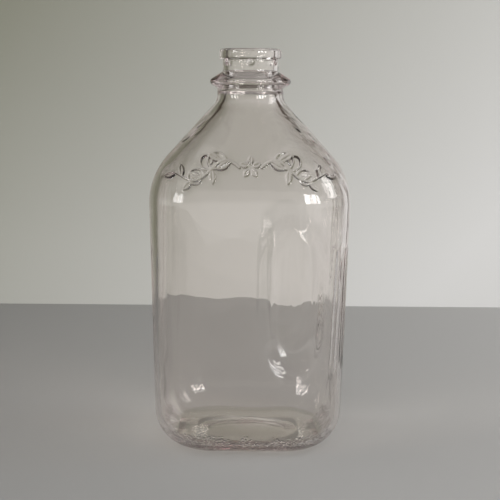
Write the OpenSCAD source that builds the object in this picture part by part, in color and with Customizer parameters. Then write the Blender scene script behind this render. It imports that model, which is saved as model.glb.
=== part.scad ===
// Half-gallon glass milk bottle: square body, round neck, hand grip down one side.
// Millimetres, +Z up. The origin is the centre of the base on the table.
// The front faces -Y and the hand grip is on the +X side.
//
// The bottle is one moulding. Its nodes are the regions that a glassmaker names,
// cut on level planes, and every cut is a full face shared by the two regions.

/* [Bottle] */
// Height from the table to the top of the lip
bottle_h = 242; // [232:0.5:256]
// Width across the flat faces where the shoulder starts
shoulder_w = 120.5; // [114:0.5:126]
// Width across the flat faces where the heel starts
heel_w = 113.5; // [108:0.5:119]
// Plan radius of the four upright corners
corner_r = 35; // [28:0.5:42]

/* [Finish] */
// Radius of the bead that a press-on cap grips
bead_r = 18.9; // [18.2:0.1:20]
// Height of the bead
bead_h = 6.2; // [5:0.1:7]
// Rounding of the bead's top edge
bead_round = 2; // [1:0.1:2.4]
// Rounding of the bead's lower edge
bead_under_round = 1.2; // [0.8:0.1:1.6]
// Width of the bevel that opens the mouth
mouth_bevel = 1.2; // [0.6:0.1:1.6]
// Radius of the collar under the bead
collar_r = 17; // [16.4:0.1:17.8]
// Height of the collar, from the neck ring's cone to the bead
collar_h = 7.6; // [6:0.1:9]
// Radius of the mouth
bore_r = 14.2; // [13:0.1:15]
// Number of lugs that a cap's skirt turns against
lug_count = 6; // [3:1:8]
// Radius of a lug's round face
lug_r = 2.5; // [1.5:0.1:2.8]
// How far a lug stands out from the collar
lug_stand = 1.5; // [0.8:0.1:1.8]
// Distance from the bead down to a lug's middle
lug_drop = 1.8; // [1:0.1:2.2]

/* [Neck ring] */
// Outside radius of the neck ring
ring_r = 24.7; // [23.5:0.1:26.5]
// Rounding of the ring's rim
ring_round = 2.4; // [2:0.1:3.5]
// Slope of the cone on top of the ring, from level
ring_slope = 32; // [26:1:42]
// Slope of the cone under the ring, from level
ring_under_slope = 31; // [26:1:48]

/* [Neck and shoulder] */
// Outside radius of the neck
neck_r = 20.2; // [19.2:0.1:21]
// Thickness of the neck's wall where it opens into the shoulder
neck_wall = 5; // [4:0.1:6]
// Upright length of the neck under the ring
neck_h = 3.8; // [1:0.1:6]
// Radius of the hollow curve between neck and shoulder
neck_blend = 9; // [7:0.5:14]
// Radius of the shoulder's round
shoulder_round = 42.5; // [36:0.5:46]
// Height of the shoulder, from the straight body to the neck's upright part
shoulder_h = 64; // [60:0.5:72]

/* [Heel and base] */
// Radius of the round between the walls and the table
heel_round = 24; // [20:0.5:25.5]
// Thickness of the glass over the ring that stands on the table
floor_t = 7.7; // [6:0.1:8.5]
// Radius of the hollow under the base
pushup_r = 31; // [26:0.5:32.5]
// Height of the hollow under the base at its rim step
pushup_step = 1; // [0.5:0.1:3]
// Height of the hollow under the base at its centre
pushup_h = 4.2; // [3.5:0.1:6]
// Thickness of the floor at its centre
floor_centre_t = 5; // [4.4:0.1:7]

/* [Glass] */
// Thickness of the body walls
body_wall = 3.9; // [3:0.1:5]

/* [Hand grip] */
// Depth of the recess in the front and the back face
grip_depth = 8.5; // [5:0.5:11]
// Distance of the recess from the bottle's centre line
grip_x = 26; // [24:0.5:30]
// Half of the recess's width
grip_half_w = 21; // [17:0.5:22.5]
// Width of the recess's sloping edge
grip_edge = 12; // [7:0.5:13]
// Height over which each end of the recess narrows
grip_end = 34; // [17:0.5:36]
// Height of the recess's lower end
grip_z0 = 45; // [40:0.5:60]
// Distance from the shoulder down to the recess's upper end
grip_under_shoulder = 4; // [3.5:0.5:25]
// Number of flutes round the side between the two recesses
flute_count = 21; // [9:2:21]
// Distance from one flute to the next, along the wall
flute_pitch = 5; // [4:0.1:5]
// Width of a flute
flute_w = 4.2; // [3:0.1:4.8]
// Depth of a flute
flute_depth = 0.9; // [0.4:0.1:1.2]
// Height of the flutes' lower end
flute_z0 = 49.5; // [38:0.5:60]
// Distance from the shoulder down to the flutes' upper end
flute_under_shoulder = 24; // [14:0.5:50]

/* [Hidden] */

round_fn = 96;
dome_fn = 360;
foot_rows = 5;
rise_rows = 3;
throat_rows = 5;
shoulder_rows = 14;
grip_rows = 11;
body_inner_rows = 16;

// Levels of the cuts between regions, from the top down.
bead_z = bottle_h - bead_h;
collar_z = bead_z - collar_h;
ring_mid_z = collar_z - ring_round * cos(ring_slope)
    - (ring_r - ring_round + ring_round * sin(ring_slope) - collar_r) * tan(ring_slope);
ring_z = ring_mid_z - ring_round * cos(ring_under_slope)
    - (ring_r - ring_round + ring_round * sin(ring_under_slope) - neck_r) * tan(ring_under_slope);
neck_blend_z = ring_z - neck_h;
shoulder_z = neck_blend_z - shoulder_h;
grip_z1 = shoulder_z - grip_under_shoulder;
grip_tip = min(grip_end, (grip_z1 - grip_z0) / 2 - 2);
flute_z1 = shoulder_z - flute_under_shoulder;
heel_z = heel_round + 5;
base_z = floor_t + 2;

// The heel bends with an even wall round one centre, down to where the thicker floor meets it.
heel_inner_round = heel_round - body_wall;

// The shoulder is a cone that touches two arcs: the shoulder's round, with its centre
// inside the bottle, and the neck's hollow curve, with its centre outside.
round_c = shoulder_w / 2 - shoulder_round;
blend_c = neck_r + neck_blend;
cone_run = [blend_c - round_c, shoulder_h];
cone_angle = atan2(cone_run.y, cone_run.x) - acos((shoulder_round + neck_blend) / norm(cone_run));
neck_z = neck_blend_z - neck_blend * sin(cone_angle);

// The lens-shaped hollow under the base and the rise of the floor over it.
step_r = pushup_r - pushup_step;
function lens_radius(rise) = (step_r * step_r + rise * rise) / (2 * rise);

function clamp01(t) = min(1, max(0, t));
function ease(t) = let (k = clamp01(t)) k * k * (3 - 2 * k);
function mix(a, b, t) = a + (b - a) * t;
function steps(from, to, n) = [for (i = [0 : n]) mix(from, to, i / n)];
function stops(from, to, n) = [for (i = [0 : n - 1]) mix(from, to, i / n)];
function backwards(list) = [for (i = [len(list) - 1 : -1 : 0]) list[i]];

// Half width across the flats of the straight body, which widens upwards.
function body_half(z) = mix(heel_w, shoulder_w, (z - heel_round) / (shoulder_z - heel_round)) / 2;

// How far a rounded foot of radius r stands in from the wall, at a height above its lowest point.
function foot_inset(h, r) = h >= r ? 0 : r - sqrt(r * r - (r - h) * (r - h));

// Half width of the shoulder and neck, set in by t from the outside.
function shoulder_half(z, t) =
    let (
        round_end = shoulder_z + (shoulder_round - t) * sin(cone_angle),
        blend_end = neck_blend_z - (neck_blend + t) * sin(cone_angle)
    )
    z <= round_end ? round_c + sqrt(pow(shoulder_round - t, 2) - pow(z - shoulder_z, 2))
    : z < blend_end ? round_c + (shoulder_round - t) * cos(cone_angle) - (z - round_end) * tan(cone_angle)
    : z < neck_blend_z ? blend_c - sqrt(pow(neck_blend + t, 2) - pow(neck_blend_z - z, 2))
    : neck_r - t;

// Thickness of the glass, which grows up the shoulder to that of the neck.
function wall(z) = mix(body_wall, neck_wall, ease((z - shoulder_z) / (neck_z - shoulder_z)));

function outer_half(z) =
    z < shoulder_z ? body_half(z) - foot_inset(z, heel_round) : shoulder_half(z, 0);
function inner_half(z) =
    z < shoulder_z ? body_half(z) - body_wall - foot_inset(z - body_wall, heel_inner_round)
    : shoulder_half(z, wall(z));

// Half length of the straight side between two corners. It shrinks to nothing up the shoulder.
function flat_half(z) =
    (body_half(min(z, shoulder_z)) - corner_r) * (1 - ease((z - shoulder_z) / (neck_z - shoulder_z)));

// Distance from the axis to a square with rounded corners, in the direction of an angle.
function rounded_square(angle, half, flat) =
    let (
        a = abs(((angle + 405) % 90) - 45),
        r = half - flat
    )
    half * tan(a) <= flat ? half / cos(a)
    : flat * (cos(a) + sin(a)) + sqrt(r * r - flat * flat * (1 - sin(2 * a)));

// Directions of the upright edges between facets, closest where the wall bends most:
// on the four corners and over the two grip recesses.
corner_a = atan2(shoulder_w / 2 - corner_r, shoulder_w / 2);
grip_a = atan2(shoulder_w / 2, grip_x - grip_half_w);
half_turn = concat(
    stops(0, corner_a, 3),
    stops(corner_a, 90 - corner_a, 12),
    stops(90 - corner_a, grip_a, 6),
    stops(grip_a, 90 + corner_a, 3),
    stops(90 + corner_a, 180 - corner_a, 8),
    stops(180 - corner_a, 180, 3)
);
directions = concat(half_turn, [180], [for (i = [len(half_turn) - 1 : -1 : 1]) 360 - half_turn[i]]);

// One level ring of points on the wall.
function plain_ring(z, half, flat) =
    [for (a = directions) let (r = rounded_square(a, half, flat)) [r * cos(a), r * sin(a), z]];

// Share of the grip recess's full depth at a point of the front or back face.
function grip_share(x, z) =
    let (
        nearest_z = min(max(z, grip_z0 + grip_tip), grip_z1 - grip_tip),
        from_middle = norm([x - grip_x, (z - nearest_z) * grip_half_w / grip_tip])
    )
    ease((grip_half_w - from_middle) / grip_edge);

// A ring with the two grip recesses pressed in. Each recess has a flat floor,
// which runs out where the rounded corner already lies deeper.
function pressed_ring(z, half) =
    [for (p = plain_ring(z, half, flat_half(z)))
        let (over = max(0, abs(p.y) - (half - grip_depth)))
        [p.x, p.y - sign(p.y) * over * grip_share(p.x, z), z]];

// A closed skin over level rings that have equal numbers of points. A loop of rings makes
// a tube with walls, and a run of rings gets a flat cap at each end.
module skin(rings, loop = false) {
    n = len(rings[0]);
    m = len(rings);
    last = loop ? m - 1 : m - 2;
    sides = [
        for (i = [0 : last], j = [0 : n - 1])
            let (
                a = i * n + j,
                b = i * n + (j + 1) % n,
                c = ((i + 1) % m) * n + (j + 1) % n,
                d = ((i + 1) % m) * n + j
            )
            each [[a, c, b], [a, d, c]]
    ];
    caps = loop ? [] : [
        for (j = [0 : n - 1])
            let (k = (j + 1) % n)
            each [[m * n, j, k], [m * n + 1, (m - 1) * n + k, (m - 1) * n + j]]
    ];
    middles = [[0, 0, rings[0][0].z], [0, 0, rings[m - 1][0].z]];
    polyhedron(
        points = concat([for (ring = rings) each ring], loop ? [] : middles),
        faces = concat(sides, caps)
    );
}

module cap_bead() {
    color("lavenderblush", 0.4)
    rotate_extrude($fn = round_fn)
        difference() {
            union() {
                translate([bore_r, bead_z]) square([bead_r - bead_round - bore_r, bead_h]);
                translate([bore_r, bead_z + bead_under_round])
                    square([bead_r - bore_r, bead_h - bead_under_round - bead_round]);
                translate([bead_r - bead_round, bottle_h - bead_round]) circle(bead_round);
                translate([bead_r - bead_under_round, bead_z + bead_under_round]) circle(bead_under_round);
                translate([bead_r - bead_round - 0.1, bead_z])
                    square([bead_round - bead_under_round + 0.1, bead_under_round + 0.1]);
            }
            polygon([
                [bore_r - 1, bottle_h - mouth_bevel - 1],
                [bore_r + mouth_bevel + 1, bottle_h + 1],
                [bore_r - 1, bottle_h + 1]
            ]);
        }
}

module collar() {
    color("lavenderblush", 0.4)
    difference() {
        union() {
            translate([0, 0, collar_z]) cylinder(h = collar_h, r = collar_r, $fn = round_fn);
            intersection() {
                for (i = [0 : lug_count - 1])
                    rotate([0, 0, i * 360 / lug_count - 90])
                        translate([collar_r + lug_stand - lug_r, 0, bead_z - lug_drop]) sphere(lug_r, $fn = 32);
                translate([0, 0, collar_z]) cylinder(h = collar_h, r = collar_r + lug_stand + 1, $fn = round_fn);
            }
        }
        translate([0, 0, collar_z - 1]) cylinder(h = collar_h + 2, r = bore_r, $fn = round_fn);
    }
}

module neck_ring() {
    rim_c = [ring_r - ring_round, ring_mid_z];
    color("lavenderblush", 0.4)
    rotate_extrude($fn = round_fn) {
        polygon([
            [bore_r, ring_z],
            [neck_r, ring_z],
            rim_c + ring_round * [sin(ring_under_slope), -cos(ring_under_slope)],
            rim_c,
            rim_c + ring_round * [sin(ring_slope), cos(ring_slope)],
            [collar_r, collar_z],
            [bore_r, collar_z]
        ]);
        translate(rim_c) circle(ring_round, $fn = round_fn);
    }
}

module neck() {
    color("lavenderblush", 0.4)
    rotate_extrude($fn = round_fn)
        difference() {
            translate([0, neck_z]) square([outer_half(neck_z), ring_z - neck_z]);
            // The hollow curve outside
            translate([blend_c, neck_blend_z]) circle(neck_blend, $fn = round_fn);
            translate([neck_r, neck_blend_z]) square([neck_blend, ring_z - neck_blend_z + 1]);
            // The open way inside, which flares down to the shoulder
            polygon(concat(
                [[-1, neck_z - 1], [inner_half(neck_z), neck_z - 1]],
                [for (z = steps(neck_z, neck_blend_z, throat_rows)) [inner_half(z), z]],
                [[bore_r, ring_z], [bore_r, ring_z + 1], [-1, ring_z + 1]]
            ));
        }
}

module shoulder() {
    levels = steps(shoulder_z, neck_z, shoulder_rows);
    color("lavenderblush", 0.4)
    skin(concat(
        [for (z = levels) plain_ring(z, outer_half(z), flat_half(z))],
        [for (z = backwards(levels)) plain_ring(z, inner_half(z), flat_half(z))]
    ), loop = true);
}

// A point of the wall's outside, a distance s along it from the middle of the grip side,
// set out from the wall along its normal.
function wall_point(s, z, out) =
    let (
        flat = body_half(z) - corner_r,
        turn = max(0, abs(s) - (body_half((flute_z0 + flute_z1) / 2) - corner_r)) / corner_r * 180 / PI,
        r = corner_r + out
    )
    turn == 0 ? [flat + r, s, z] : [flat + r * cos(turn), sign(s) * (flat + r * sin(turn)), z];

// A flute is the mark of a round-ended rod laid along the wall.
module flute(s) {
    rod_r = (flute_w * flute_w / 4 + flute_depth * flute_depth) / (2 * flute_depth);
    low = wall_point(s, flute_z0 + flute_w / 2, rod_r - flute_depth);
    high = wall_point(s, flute_z1 - flute_w / 2, rod_r - flute_depth);
    run = high - low;
    length = norm(run);
    translate(low)
        rotate([0, acos(run.z / length), atan2(run.y, run.x)])
            rotate_extrude($fn = 32)
                intersection() {
                    union() {
                        circle(rod_r, $fn = 32);
                        translate([-rod_r, 0]) square([2 * rod_r, length]);
                        translate([0, length]) circle(rod_r, $fn = 32);
                    }
                    translate([0, -rod_r - 1]) square([rod_r + 1, length + 2 * rod_r + 2]);
                }
}

module body() {
    outside = concat(
        [heel_z],
        steps(grip_z0 - 2, grip_z0 + grip_tip, grip_rows),
        steps(grip_z1 - grip_tip, shoulder_z, grip_rows)
    );
    inside = concat(
        [heel_z],
        steps(grip_z0 - 2, grip_z0 + grip_tip, body_inner_rows / 2),
        steps(grip_z1 - grip_tip, shoulder_z, body_inner_rows / 2)
    );
    color("lavenderblush", 0.4)
    difference() {
        skin(concat(
            [for (z = outside) pressed_ring(z, outer_half(z))],
            [for (z = backwards(inside)) pressed_ring(z, inner_half(z))]
        ), loop = true);
        for (i = [0 : flute_count - 1]) flute((i - (flute_count - 1) / 2) * flute_pitch);
    }
}

// Heights on a rounded foot, evenly spaced along its arc, between two levels above its lowest point.
function foot_levels(r, from, to, n) =
    let (a0 = acos((r - from) / r), a1 = acos((r - min(to, r)) / r))
    [for (a = steps(a0, a1, n)) r * (1 - cos(a))];

// Levels on the inside of the heel, between two of them.
function heel_inside_levels(from, to, n) =
    [for (h = foot_levels(heel_inner_round, from - body_wall, to - body_wall, n)) body_wall + h];

module heel() {
    outside = concat(foot_levels(heel_round, base_z, heel_round, foot_rows), [heel_z]);
    inside = heel_inside_levels(base_z, heel_round, foot_rows);
    color("lavenderblush", 0.4)
    skin(concat(
        [for (z = outside) plain_ring(z, outer_half(z), flat_half(z))],
        [plain_ring(heel_z, inner_half(heel_z), flat_half(heel_z))],
        [for (z = backwards(inside)) plain_ring(z, inner_half(z), flat_half(z))]
    ), loop = true);
}

// A round lens that bulges upwards from a level plane.
module lens(z, rise, sink) {
    translate([0, 0, z])
        rotate_extrude($fn = round_fn)
            intersection() {
                translate([0, rise - lens_radius(rise)]) circle(lens_radius(rise), $fn = dome_fn);
                translate([0, -sink]) square([step_r, rise + sink + 1]);
            }
}

module base() {
    outside = foot_levels(heel_round, 0, base_z, foot_rows);
    inside = heel_inside_levels(floor_t, base_z, rise_rows);
    color("lavenderblush", 0.4)
    difference() {
        union() {
            skin(concat(
                [for (z = outside) plain_ring(z, outer_half(z), flat_half(z))],
                [for (z = backwards(inside)) plain_ring(z, inner_half(z), flat_half(z))]
            ));
            lens(floor_t, pushup_h + floor_centre_t - floor_t, 1);
        }
        // The stepped hollow underneath
        translate([0, 0, -1]) cylinder(h = 1, r = pushup_r, $fn = round_fn);
        cylinder(h = pushup_step, r1 = pushup_r, r2 = step_r, $fn = round_fn);
        lens(pushup_step, pushup_h - pushup_step, 0.5);
    }
}

cap_bead();
collar();
neck_ring();
neck();
shoulder();
body();
heel();
base();
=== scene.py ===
"""Looks of a clear glass milk bottle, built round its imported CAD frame.

The bottle is one moulding of glass, so its looks are one closed piece: the outside and the
inside wall are drawn as profiles, spun about the neck's axis, squared up, pressed with the
two hand-grip recesses, fluted down the grip side and raised with a leafy sprig on the
shoulder. Sizes of the glass are in millimetres; everything that is handed to Blender is in
metres, with +Z up, the front facing -Y and the hand grip on the +X side.
"""

import logging
import math
from collections.abc import Callable, Iterable, Iterator, Sequence
from contextlib import contextmanager
from dataclasses import dataclass, field
from enum import Enum

import bpy
import numpy as np
from mathutils import Matrix, Vector

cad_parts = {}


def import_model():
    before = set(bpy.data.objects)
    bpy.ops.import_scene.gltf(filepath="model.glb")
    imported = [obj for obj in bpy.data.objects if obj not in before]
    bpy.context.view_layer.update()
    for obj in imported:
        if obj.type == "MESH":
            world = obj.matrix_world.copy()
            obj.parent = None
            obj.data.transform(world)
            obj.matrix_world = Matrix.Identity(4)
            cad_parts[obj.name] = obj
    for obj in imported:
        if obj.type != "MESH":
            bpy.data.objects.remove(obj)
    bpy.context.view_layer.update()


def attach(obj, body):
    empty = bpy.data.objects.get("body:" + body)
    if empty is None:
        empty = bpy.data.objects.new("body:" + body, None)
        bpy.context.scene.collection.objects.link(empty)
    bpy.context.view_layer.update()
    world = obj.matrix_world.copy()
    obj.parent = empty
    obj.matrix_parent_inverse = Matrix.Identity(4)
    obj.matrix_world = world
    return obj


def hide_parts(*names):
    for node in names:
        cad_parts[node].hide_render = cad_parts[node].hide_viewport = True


MM = 0.001
# Points closer than this are merged, in metres.
MERGE = 1e-6
log = logging.getLogger("milk_bottle")

Point2 = tuple[float, float]
Point3 = tuple[float, float, float]
Colour = tuple[float, float, float]
Array = np.ndarray


# --- Shader maths ---


def _operator(operation: str, swapped: bool = False) -> Callable[["Wire", "Wire | float"], "Wire"]:
    """Makes the method that stands for one arithmetic sign.

    Args:
        operation: The Math node's operation.
        swapped: Whether the wire stands on the right of the sign.

    Returns:
        The method.
    """

    def method(self: "Wire", other: "Wire | float") -> "Wire":
        """Adds one Math node on the wire and the other value."""
        return self._math(operation, *((other, self) if swapped else (self, other)))

    return method


class Wire:
    """A shader socket that arithmetic operators can be used on.

    Args:
        dresser: The material builder whose node tree the socket is in.
        socket: The output socket itself.
    """

    def __init__(self, dresser: "Dresser", socket: bpy.types.NodeSocket) -> None:
        self.dresser = dresser
        self.socket = socket

    def _math(self, operation: str, *values: "Wire | float") -> "Wire":
        """Adds one Math node on the given values."""
        return self.dresser.node("ShaderNodeMath", {"operation": operation}, dict(enumerate(values)))

    __add__ = _operator("ADD")
    __radd__ = _operator("ADD", swapped=True)
    __sub__ = _operator("SUBTRACT")
    __rsub__ = _operator("SUBTRACT", swapped=True)
    __mul__ = _operator("MULTIPLY")
    __rmul__ = _operator("MULTIPLY", swapped=True)

    def abs(self) -> "Wire":
        """Returns the absolute value."""
        return self._math("ABSOLUTE", self)

    def smooth(self, low: float, high: float) -> "Wire":
        """Ramps smoothly from 0 to 1 as the value goes from low to high.

        Args:
            low: Value that gives 0. It may be the larger of the two.
            high: Value that gives 1.

        Returns:
            The ramped value.
        """
        flip = low > high
        settings = {"interpolation_type": "SMOOTHSTEP"}
        values = {
            "Value": self,
            "From Min": high if flip else low,
            "From Max": low if flip else high,
            "To Min": 1.0 if flip else 0.0,
            "To Max": 0.0 if flip else 1.0,
        }
        return self.dresser.node("ShaderNodeMapRange", settings, values)


class Dresser:
    """Builds one node material.

    Args:
        name: Name of the material.
    """

    def __init__(self, name: str) -> None:
        self.material = bpy.data.materials.new(name)
        self.material.use_nodes = True
        self.tree = self.material.node_tree
        self.tree.nodes.clear()

    def node(
        self,
        kind: str,
        settings: dict[str, object] | None = None,
        values: "dict[str | int, Wire | float | Sequence[float]] | None" = None,
        output: str | int = 0,
    ) -> Wire:
        """Adds a node.

        Args:
            kind: The node's type.
            settings: Properties to set before its sockets are filled.
            values: Socket name or number to a wire or a plain value.
            output: Name or number of the output wanted back.

        Returns:
            The output as a wire.
        """
        made = self.tree.nodes.new(kind)
        for key, value in (settings or {}).items():
            setattr(made, key, value)
        for key, value in (values or {}).items():
            if isinstance(value, Wire):
                self.tree.links.new(value.socket, made.inputs[key])
            else:
                made.inputs[key].default_value = value
        return Wire(self, made.outputs[output])

    def mix(self, share: Wire | float, first: Wire | Colour, second: Wire | Colour) -> Wire:
        """Blends two colours.

        Args:
            share: 0 gives the first colour and 1 the second.
            first: A wire or a plain colour.
            second: A wire or a plain colour.

        Returns:
            The blended colour.
        """
        ends = [c if isinstance(c, Wire) else (*c, 1.0) for c in (first, second)]
        return self.node("ShaderNodeMix", {"data_type": "RGBA"}, {0: share, 6: ends[0], 7: ends[1]}, 2)

    def place(self) -> tuple[Wire, Wire, Wire, Wire]:
        """Returns the object coordinates as a vector and as x, y and z, in metres."""
        vector = self.node("ShaderNodeTexCoord", output="Object")
        split = self.tree.nodes.new("ShaderNodeSeparateXYZ")
        self.tree.links.new(vector.socket, split.inputs[0])
        return (vector, *(Wire(self, out) for out in split.outputs))

    def noise(self, vector: Wire, scale: float, detail: float = 2.0, roughness: float = 0.5) -> Wire:
        """Adds a noise pattern.

        Args:
            vector: Coordinates that the pattern reads.
            scale: Features per metre.
            detail: Octaves of finer noise.
            roughness: Strength of the finer noise.

        Returns:
            The pattern, about 0 to 1.
        """
        values = {"Vector": vector, "Scale": scale, "Detail": detail, "Roughness": roughness}
        return self.node("ShaderNodeTexNoise", {"noise_dimensions": "3D"}, values)

    def surface(self, shader: Wire, volume: Wire | None = None) -> bpy.types.Material:
        """Ends the tree in a Material Output.

        Args:
            shader: The surface shader.
            volume: The volume shader, for clear bodies.

        Returns:
            The finished material.
        """
        made = self.tree.nodes.new("ShaderNodeOutputMaterial")
        for key, value in (("Surface", shader), ("Volume", volume)):
            if value is not None:
                self.tree.links.new(value.socket, made.inputs[key])
        return self.material


# --- Finishes ---


@dataclass(frozen=True)
class Patches:
    """Uneven patches, drawn from the part of a noise pattern's range that shows.

    Args:
        scale: Features per metre.
        detail: Octaves of finer noise.
        low: Noise that shows nothing.
        high: Noise that shows in full.
    """

    scale: float
    detail: float
    low: float
    high: float

    def on(self, d: Dresser, vector: Wire) -> Wire:
        """Returns how much of a patch there is, from 0 to 1."""
        return d.noise(vector, self.scale, self.detail).smooth(self.low, self.high)


@dataclass(frozen=True)
class ClearGlass:
    """Old clear bottle glass with a faint warm pink cast. Lengths are in metres.

    A pair is a ramp: the value where something is not there yet, then where it is in full.

    Args:
        tint: Colour that the glass lets through.
        floor_tint_and_shade: Colour that the inside of the thick floor lets through: a little of it is
            the thick glass's olive cast, most of it is painted shade that stands for the shadowed
            table under the base.
        floor_shade_levels: Ramp of levels down to that floor, where the painted shade comes in.
        ior: Index of refraction.
        drawn: Colour that the volume leaves in, at the density below.
        density: How strongly the volume absorbs, per metre.
        shade: Share of a lamp's light that each surface passes on to what is behind it.
        polish: Roughness of clean glass.
        film: Faint dull patches.
        film_dull: Roughness that they add.
        rub: Scratches on the foot.
        rub_dull: Roughness that they add.
        rub_levels: Ramp of levels down to the foot.
        seam_height: How far a mould seam stands proud.
        seam_ramps: Upright seam: in to its middle, out from the mouth, and up from the foot.
        ring_seam: Level seam: its height above the neck ring's root, and its ramp to the middle.
        stipple_height: How far a grain of the heel's stippling stands proud.
        stipple_scale: Grains per metre.
        stipple_patches: Where the stippling has not worn off.
        stipple_ramps: The grain itself, the band's lower and upper edges, places in from the
            plain back, and squared distances from the axis, which keep the underside bare.
        ripple_height: Depth of the slow waves that moulding leaves.
        streak_height: Depth of the fine upright waves round the hand grip.
        wave_scales: Slow and fine waves per metre.
        wave_stretch: Shares that their levels are counted at.
        streak_ramps: Fine waves: places towards the hand grip, and levels where they start.
    """

    tint: Colour = (0.985, 0.966, 0.948)
    # Mostly painted shade for the shadowed table under the base, with a little olive of thick glass.
    floor_tint_and_shade: Colour = (0.745, 0.760, 0.675)
    floor_shade_levels: Point2 = (0.0098, 0.0084)
    ior: float = 1.5
    drawn: tuple[float, float, float, float] = (0.82, 0.58, 0.59, 1.0)
    density: float = 7.0
    shade: Colour = (0.972, 0.962, 0.945)
    polish: float = 0.004
    film: Patches = Patches(55.0, 3.0, 0.48, 0.78)
    film_dull: float = 0.018
    rub: Patches = Patches(900.0, 2.0, 0.50, 0.75)
    rub_dull: float = 0.35
    rub_levels: Point2 = (0.0030, 0.0002)
    seam_height: float = 0.00012
    seam_ramps: tuple[Point2, ...] = ((0.00045, 0.0001), (0.0155, 0.0165), (0.006, 0.010))
    ring_seam: tuple[float, Point2] = (0.0008, (0.0004, 0.0001))
    stipple_height: float = 0.00140
    stipple_scale: float = 560.0
    stipple_patches: Patches = Patches(130.0, 1.0, 0.36, 0.60)
    stipple_ramps: tuple[Point2, ...] = (
        (0.55, 0.1), (0.0030, 0.0042), (0.0150, 0.0115), (0.030, 0.022), (0.0012, 0.0014),
    )
    ripple_height: float = 0.00035
    streak_height: float = 0.00020
    wave_scales: Point2 = (42.0, 170.0)
    wave_stretch: Point2 = (0.45, 0.16)
    streak_ramps: tuple[Point2, ...] = ((-0.010, 0.015), (0.028, 0.045))

    def material(self, form: "BottleForm") -> bpy.types.Material:
        """Makes the glass.

        Args:
            form: The bottle's sizes, which place the seams.

        Returns:
            The material.
        """
        d = Dresser("clear_glass")
        vector, x, y, z = d.place()
        outer = d.node("ShaderNodeAttribute", {"attribute_name": "outer"}, output="Fac")
        seams = self._seams(x, y, z, form)
        stipple = self._stipple(d, vector, x, y, z) * outer
        height = seams + stipple + self._ripples(d, vector, x, z)
        bump = d.node("ShaderNodeBump", None, {"Strength": 1.0, "Distance": 1.0, "Height": height})
        # Painted shade: the inside of the floor is darkened as if the table under the base lay in
        # shadow.
        floor = z.smooth(*self.floor_shade_levels) * (1.0 - outer)
        film = self.film.on(d, vector)
        rub = self.rub.on(d, vector) * z.smooth(*self.rub_levels)
        glass = d.node(
            "ShaderNodeBsdfPrincipled",
            {"distribution": "GGX"},
            {
                "Base Color": d.mix(floor, self.tint, self.floor_tint_and_shade),
                "Roughness": self.polish + self.film_dull * film + self.rub_dull * rub,
                "IOR": self.ior,
                "Transmission Weight": 1.0,
                "Normal": bump,
            },
        )
        clear = d.node("ShaderNodeBsdfTransparent", None, {"Color": (*self.shade, 1.0)})
        lamp_ray = d.node("ShaderNodeLightPath", output="Is Shadow Ray")
        shader = d.node("ShaderNodeMixShader", None, {0: lamp_ray, 1: glass, 2: clear})
        values = {"Color": self.drawn, "Density": self.density}
        return d.surface(shader, d.node("ShaderNodeVolumeAbsorption", None, values))

    def _seams(self, x: Wire, y: Wire, z: Wire, form: "BottleForm") -> Wire:
        """Returns the height of the seams where the mould's halves and rings met."""
        across, out, up = self.seam_ramps
        rise, ramp = self.ring_seam
        upright = y.abs().smooth(*across) * x.abs().smooth(*out) * z.smooth(*up)
        level = (z - form.ring_z * MM - rise).abs().smooth(*ramp)
        return self.seam_height * (upright + level)

    def _stipple(self, d: Dresser, vector: Wire, x: Wire, y: Wire, z: Wire) -> Wire:
        """Returns the height of the fine grains that roughen the heel at the front and the sides."""
        values = {"Vector": vector, "Scale": self.stipple_scale, "Randomness": 0.9}
        grain = d.node("ShaderNodeTexVoronoi", {"voronoi_dimensions": "3D"}, values)
        shape, low, high, back, rim = self.stipple_ramps
        grain = grain.smooth(*shape)
        band = z.smooth(*low) * z.smooth(*high) * y.smooth(*back)
        patchy = self.stipple_patches.on(d, vector) * (x * x + y * y).smooth(*rim)
        return self.stipple_height * grain * band * patchy

    def _ripples(self, d: Dresser, vector: Wire, x: Wire, z: Wire) -> Wire:
        """Returns the height of the waves that a cooling mould leaves, finer round the grip."""
        slow, fine = (
            d.node("ShaderNodeMapping", None, {"Vector": vector, "Scale": (1.0, 1.0, stretch)})
            for stretch in self.wave_stretch
        )
        side, up = self.streak_ramps
        slow_scale, fine_scale = self.wave_scales
        streaks = d.noise(fine, fine_scale, 1.0) * x.smooth(*side) * z.smooth(*up)
        slow = d.noise(slow, slow_scale, 1.5, 0.4)
        return self.ripple_height * slow + self.streak_height * streaks


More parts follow.
